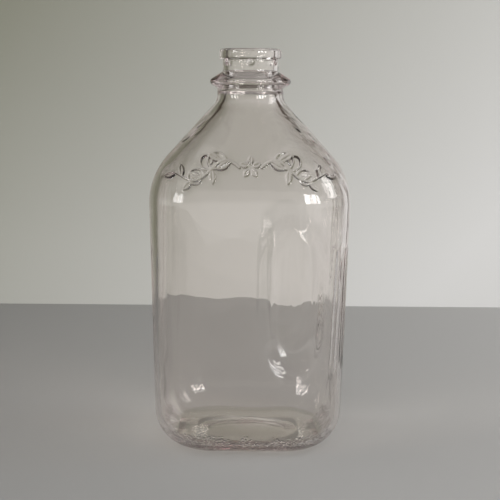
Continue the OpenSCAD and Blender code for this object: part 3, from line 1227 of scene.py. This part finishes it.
    def _raise_lugs(
        self, x: Array, y: Array, z: Array, half: Array, angle: Array
    ) -> tuple[Array, Array]:
        """Raises the round lugs on the collar, and returns the new x and y."""
        f = self.form
        off, drop = self._from_lug(angle, z)
        square = off**2 + drop**2
        ball = f.collar_r + f.lug_stand - f.lug_r + root(f.lug_r**2 - square)
        out = (square < f.lug_r**2) & (half > f.collar_r - 0.1) & (z > f.collar_z)
        # A square root blends the lug into the collar, and lifts it by a little that is taken back.
        blend, lift = 0.02, 0.07
        soft = 0.5 * (ball + half + np.sqrt((ball - half) ** 2 + blend)) - lift
        grown = np.where(out, np.maximum(half, soft), half) / np.maximum(half, 1e-6)
        return x * grown, y * grown

    def _wave(self, x: Array, y: Array, z: Array, half: Array) -> tuple[Array, Array]:
        """Gives the inside the slow unevenness of pressed glass, and returns the new x and y."""
        f = self.form
        inside = (half < f.inner_half(z) + 0.3) & (z < f.neck_blend_z) & (z > f.floor_t + 1.0)
        wander = (
            np.sin(x * 0.083 + 1.7 * np.sin(z * 0.031) + 0.4)
            + np.sin(y * 0.097 + 1.3 * np.sin(z * 0.043 + 1.0))
            + 0.7 * np.sin(z * 0.118 + 0.9 * np.sin(x * 0.061 + 2.0) + y * 0.05)
            + 0.35 * np.sin(z * 0.27 + x * 0.19 + 0.6) * np.sin(y * 0.21 + 0.3)
        )
        share = self.waviness * wander * inside * ease((f.neck_z - z) / 20.0) / np.maximum(half, 1.0)
        settled = f.thickening(z) * inside * (1.0 - f.grip_share(x, z))
        settled = settled * ease((np.abs(y) - 30.0) / 15.0)
        return x * (1.0 + share), y * (1.0 + share) - np.sign(y) * settled

    def _refine(self, shell: bpy.types.Object, wall: Wall) -> None:
        """Divides the faces of a shell, as spun, that will carry the ornament or the lugs."""
        f = self.form
        mesh = shell.data
        x, y, z = (gather(mesh.polygons, "center") / MM).T
        turns = np.arctan2(y, x) % (2.0 * math.pi)
        if wall.surface is Surface.OUTSIDE:
            angle = self._directions(wall, turns, z)
            x = f.rounded_square(angle, f.outer_half(z), f.flat_half(z)) * np.cos(angle)
            front = (np.abs(z - self.sprig.middle) < 18.0) & (np.sin(angle) < 0.0)
            chosen = np.zeros(len(x), bool)
            for dx, dz in ((0.0, 0.0), (0.8, 0.8), (0.8, -0.8), (-0.8, 0.8), (-0.8, -0.8)):
                chosen[front] |= self.sprig.field(x[front] + dx, z[front] + dz) > 0.0
            cuts = 3
        else:
            off, drop = self._from_lug(turns, z)
            chosen = (np.hypot(x, y) > f.collar_r - 0.1) & (np.hypot(off, drop) < f.lug_r + 0.5)
            chosen = chosen & (z > f.collar_z)
            cuts = 1
        with editing(shell, "DESELECT"):
            bpy.ops.mesh.select_mode(type="FACE")
        mesh.polygons.foreach_set("select", chosen)
        with editing(shell):
            bpy.ops.mesh.subdivide(number_cuts=cuts, quadcorner="INNERVERT")
            bpy.ops.mesh.select_mode(type="VERT")
        log.info("%s: %d faces refined", wall.surface.value, int(chosen.sum()))

    def _join(self, shells: Iterable[bpy.types.Object]) -> bpy.types.Object:
        """Joins the outside, and the mouth with the inside, into one closed skin."""
        outside, inside = shells
        only(outside)
        inside.select_set(True)
        bpy.ops.object.join()
        bottle = bpy.context.object
        bottle.name = bottle.data.name = "bottle"
        # Only the walls' open edges are wanted, not the other kinds of edge that this can pick.
        kinds = ("use_wire", "use_multi_face", "use_non_contiguous", "use_verts")
        with editing(bottle):
            bpy.ops.mesh.select_mode(type="EDGE")
            bpy.ops.mesh.select_all(action="DESELECT")
            bpy.ops.mesh.select_non_manifold(extend=False, **dict.fromkeys(kinds, False))
            bpy.ops.mesh.bridge_edge_loops()
            bpy.ops.mesh.select_mode(type="VERT")
            bpy.ops.mesh.select_all(action="SELECT")
            bpy.ops.mesh.remove_doubles(threshold=MERGE)
            bpy.ops.mesh.normals_make_consistent(inside=False)
        return bottle

    def _emboss(self, bottle: bpy.types.Object) -> None:
        """Raises the ornament out of the shoulder's front."""
        co = places(bottle)
        normals = gather(bottle.data.vertices, "normal")
        x, y, z = co.T
        near = (np.abs(z - self.sprig.middle) < 20.0) & (y < 0.0)
        near &= np.hypot(x, y) > self.form.shoulder_half(z, self.form.wall(z)) + 1.0
        rise = np.zeros(len(co))
        rise[near] = self.sprig.field(x[near], z[near])
        put(bottle, co + normals * rise[:, None])

    def build(self) -> bpy.types.Object:
        """Builds the bottle and dresses it.

        Returns:
            The bottle.
        """
        maker = ProfileMaker(self.form)
        shells = []
        for wall in (maker.outside(), maker.mouth_and_inside()):
            shell = self._spin(wall)
            self._refine(shell, wall)
            self._square_up(shell, wall)
            log.info("%s: %d rows, %d columns", wall.surface.value, len(wall.points), wall.columns)
            shells.append(shell)
        bottle = self._join(shells)
        self._emboss(bottle)
        only(bottle)
        bpy.ops.object.shade_smooth()
        bottle.data.materials.clear()
        bottle.data.materials.append(self.finish.material(self.form))
        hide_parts(*self.nodes)
        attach(bottle, "root")
        bottle.data.calc_loop_triangles()
        log.info("bottle: %d triangles", len(bottle.data.loop_triangles))
        return bottle


# --- Studio ---


@dataclass(frozen=True)
class Softbox:
    """A plain rectangular lamp.

    Args:
        name: Its name.
        place: Where it hangs, in metres.
        aim: The point that it faces.
        size: Its width and height.
        power: Its power, in watts.
        panes: How many upright panes it is made of.
        pane_share: How much of its width the panes fill, where there are several.
    """

    name: str
    place: Point3
    aim: Point3
    size: Point2
    power: float
    panes: int = 1
    pane_share: float = 0.6

    def hang(self) -> None:
        """Puts the lamp's panes in the scene, side by side."""
        turn = (Vector(self.aim) - Vector(self.place)).to_track_quat("-Z", "Y")
        pitch = self.size[0] / self.panes
        for i in range(self.panes):
            across = turn @ Vector(((i - (self.panes - 1) / 2.0) * pitch, 0.0, 0.0))
            bpy.ops.object.light_add(type="AREA", location=Vector(self.place) + across)
            lamp = bpy.context.object
            lamp.name = f"{self.name}_{i + 1}"
            lamp.data.shape = "RECTANGLE"
            lamp.data.size = pitch * self.pane_share if self.panes > 1 else pitch
            lamp.data.size_y = self.size[1]
            lamp.data.energy = self.power / self.panes
            lamp.rotation_euler = turn.to_euler()


@dataclass(frozen=True)
class ViewCamera:
    """The camera.

    Args:
        place: Where it stands, in metres.
        pitch: How far it looks down, in degrees.
        roll: How far it leans, in degrees.
        lens: Focal length, in millimetres.
        shift: Shift of the frame, as shares of its width.
        sensor: Width of the film, in millimetres.
        clip: Distance that it sees from, in metres.
    """

    place: Point3 = (-0.0074, -0.8304, 0.2225)
    pitch: float = 7.4
    roll: float = 0.46
    lens: float = 97.07
    shift: Point2 = (0.026, 0.012)
    sensor: float = 36.0
    clip: float = 0.01

    def set_up(self) -> None:
        """Puts the camera in the scene and makes it the one that is used."""
        bpy.ops.object.camera_add(location=self.place)
        camera = bpy.context.object
        camera.name = "camera"
        tilt = Matrix.Rotation(math.radians(90.0 - self.pitch), 4, "X")
        lean = Matrix.Rotation(math.radians(self.roll), 4, "Z")
        camera.rotation_euler = (tilt @ lean).to_euler()
        camera.data.sensor_width = self.sensor
        camera.data.lens = self.lens
        camera.data.shift_x, camera.data.shift_y = self.shift
        camera.data.clip_start = self.clip
        bpy.context.scene.camera = camera


@dataclass
class Studio:
    """A pale floor and backdrop, soft lamps and an even surround.

    Args:
        backdrop: Paint of the backdrop, with its painted light and its painted shade far out.
        floor: Paint of the floor, with its painted light and its painted shade far out.
        floor_depth: Where the floor starts and ends, from front to back, in metres.
        backdrop_y: Where the backdrop stands, far enough back to leave room to look from behind.
        floor_w: How wide the floor is, in metres.
        backdrop_size: How wide and high the backdrop is, in metres.
        backdrop_z: Level of its middle, in metres.
        surround: Brightness of the surround.
        gloss_surround: The same where it is mirrored, near the horizon and overhead.
        gloss_rise: How far up, of 1, the mirrored surround starts and stops getting dimmer.
        bounces: How often light may turn in clear glass, and how often off its surfaces.
        lamps: The lamps.
    """

    # Painted light: the backdrop is paler to the right and low down; painted shade: dark brown far to
    # the sides and high up.
    backdrop: PaleBoard = PaleBoard(
        "backdrop_paint", dim=(0.24, 0.241, 0.185), light=(0.67, 0.665, 0.655), middle=0.68,
        slope=(1.03, 0.0, -0.93), heart=(0.0, 0.95, 0.082), squash=(0.55, 1.0, 1.0), near=0.55,
        far=0.76, shade=(0.045, 0.028, 0.018),
    )
    # Painted light: the floor is paler to the right and a little towards the back; painted shade far
    # from the bottle.
    floor: PaleBoard = PaleBoard(
        "floor_paint", dim=(0.30, 0.297, 0.288), light=(0.52, 0.516, 0.51), middle=0.45,
        slope=(1.6, 0.10, 0.0), heart=(0.0, 0.0, 0.0), squash=(1.0, 1.0, 1.0), near=0.80,
        far=1.4, shade=(0.15, 0.14, 0.13),
    )
    floor_depth: Point2 = (-0.80, 0.50)
    backdrop_y: float = 0.95
    floor_w: float = 5.0
    backdrop_size: Point2 = (6.0, 3.0)
    backdrop_z: float = 0.7
    surround: float = 0.62
    gloss_surround: Point2 = (0.85, 0.22)
    gloss_rise: Point2 = (0.02, 0.16)
    bounces: tuple[int, int] = (32, 20)
    lamps: tuple[Softbox, ...] = (
        Softbox("left_window", (-1.40, -0.76, 0.53), (0.0, 0.0, 0.16), (0.65, 0.52), 5.0, 2),
        Softbox("right_window", (1.06, -1.20, 0.53), (0.0, 0.0, 0.16), (1.0, 0.52), 12.0, 3),
        Softbox("back_window", (1.5, 0.1, 0.9), (0.0, 0.95, 0.3), (0.6, 0.9), 7.0),
    )

    def _board(self, name: str, size: Point2, place: Point3, tilt: float, finish: PaleBoard) -> None:
        """Adds one flat board to the stage."""
        bpy.ops.object.select_all(action="DESELECT")
        bpy.ops.mesh.primitive_plane_add(size=1.0)
        board = bpy.context.object
        board.name = name
        turn = Matrix.Translation(place) @ Matrix.Rotation(math.radians(tilt), 4, "X")
        board.data.transform(turn @ Matrix.Diagonal((*size, 1.0, 1.0)))
        board.data.materials.append(finish.material())

    def set_up(self) -> None:
        """Puts the stage, the lamps and the surround in the scene."""
        front, back = self.floor_depth
        centre = (0.0, (front + back) / 2.0, 0.0)
        self._board("floor", (self.floor_w, back - front), centre, 0.0, self.floor)
        centre = (0.0, self.backdrop_y, self.backdrop_z)
        self._board("backdrop", self.backdrop_size, centre, 90.0, self.backdrop)
        for lamp in self.lamps:
            lamp.hang()
        scene = bpy.context.scene
        scene.world = bpy.data.worlds.new("surround")
        scene.world.use_nodes = True
        tree = scene.world.node_tree
        background = tree.nodes["Background"]
        background.inputs["Color"].default_value = (1.0, 0.99, 0.97, 1.0)
        # A room's ceiling is dimmer than its windows, so mirrored rays meet a dimmer surround.
        ray, place, split, mirrored, level = (
            tree.nodes.new(f"ShaderNode{kind}")
            for kind in ("LightPath", "TexCoord", "SeparateXYZ", "MapRange", "MapRange")
        )
        tree.links.new(place.outputs["Generated"], split.inputs[0])
        tree.links.new(split.outputs["Z"], mirrored.inputs["Value"])
        keys = ("From Min", "From Max", "To Min", "To Max")
        for key, value in zip(keys, (*self.gloss_rise, *self.gloss_surround)):
            mirrored.inputs[key].default_value = value
        tree.links.new(ray.outputs["Is Glossy Ray"], level.inputs["Value"])
        level.inputs["To Min"].default_value = self.surround
        tree.links.new(mirrored.outputs["Result"], level.inputs["To Max"])
        tree.links.new(level.outputs["Result"], background.inputs["Strength"])
        scene.view_settings.view_transform = "Standard"
        # Light turns many times inside thick clear walls before it leaves them.
        through, off = self.bounces
        scene.cycles.max_bounces = scene.cycles.transmission_bounces = through
        scene.cycles.glossy_bounces = off


def main() -> None:
    """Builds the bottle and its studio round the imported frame."""
    logging.basicConfig(level=logging.INFO, format="%(name)s: %(message)s")
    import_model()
    bottle = GlassBottle().build()
    log.info("piece %s rides on root", bottle.name)
    Studio().set_up()
    ViewCamera().set_up()


if __name__ == "__main__":
    main()
